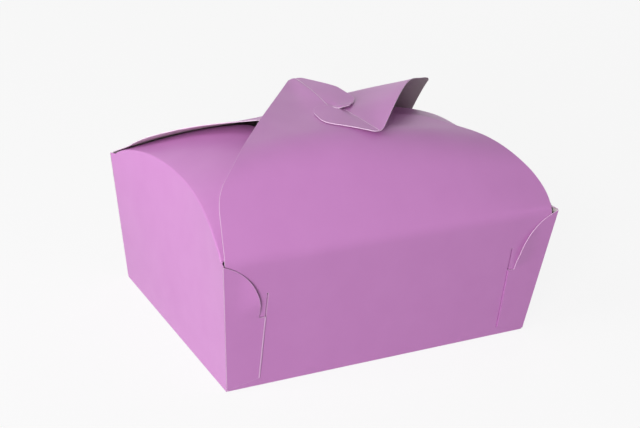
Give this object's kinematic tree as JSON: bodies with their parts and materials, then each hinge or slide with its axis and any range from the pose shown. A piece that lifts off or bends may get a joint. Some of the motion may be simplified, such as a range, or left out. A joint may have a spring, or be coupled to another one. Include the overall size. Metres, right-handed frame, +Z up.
{
  "type": "pastry box",
  "caption": "Folded paperboard pastry box with flared walls, corner lug locks, curved side flaps and two arched lid flaps that hook together.",
  "frame": {"origin": "middle of the base's underside, where the box rests", "axes": "+Z up, +X to the right along the front wall, +Y towards the rear wall"},
  "size_m": [0.2178, 0.1734, 0.1398],
  "materials": {
    "lilac_board": "lilac coated outside with a soft sheen, white inside"
  },
  "bodies": {
    "box": {"base_panel": "lilac_board", "front_wall": "lilac_board", "rear_wall": "lilac_board", "left_wall": "lilac_board", "right_wall": "lilac_board", "front_left_lock": "lilac_board", "front_right_lock": "lilac_board", "rear_left_lock": "lilac_board", "rear_right_lock": "lilac_board"},
    "left_flap": {"left_side_flap": "lilac_board"},
    "right_flap": {"right_side_flap": "lilac_board"},
    "front_lid": {"front_lid_flap": "lilac_board"},
    "rear_lid": {"rear_lid_flap": "lilac_board"},
    "front_hook": {"front_hook_tab": "lilac_board"},
    "rear_hook": {"rear_hook_tab": "lilac_board"}
  },
  "joints": [
    {"name": "front_lid_fold", "type": "hinge", "parent": "box", "child": "front_lid", "pos_m": [0, -0.08575, 0.084], "axis": [1, 0, 0], "range_deg": [0, 110], "deforming": ["front_hook_tab", "rear_hook_tab"]},
    {"name": "rear_lid_fold", "type": "hinge", "parent": "box", "child": "rear_lid", "pos_m": [0, 0.08575, 0.084], "axis": [-1, 0, 0], "range_deg": [0, 110]},
    {"name": "left_flap_fold", "type": "hinge", "parent": "box", "child": "left_flap", "pos_m": [-0.10865, 0, 0.084], "axis": [0, -1, 0], "range_deg": [0, 88]},
    {"name": "right_flap_fold", "type": "hinge", "parent": "box", "child": "right_flap", "pos_m": [0.10865, 0, 0.084], "axis": [0, 1, 0], "range_deg": [0, 88]},
    {"name": "front_hook_crease", "type": "hinge", "parent": "front_lid", "child": "front_hook", "pos_m": [-0.0036, -0.0004, 0.13264], "axis": [-0.0936, -0.9955, -0.0121], "range_deg": [0, 30]},
    {"name": "rear_hook_crease", "type": "hinge", "parent": "rear_lid", "child": "rear_hook", "pos_m": [0.001, -0.0086, 0.13288], "axis": [-0.0423, 0.9991, -0.0078], "range_deg": [0, 30]}
  ],
  "couplings": [
    {"joint": "rear_lid_fold", "follows": "front_lid_fold", "ratio": 1},
    {"joint": "left_flap_fold", "follows": "front_lid_fold", "ratio": 0.8},
    {"joint": "right_flap_fold", "follows": "front_lid_fold", "ratio": 0.8}
  ]
}
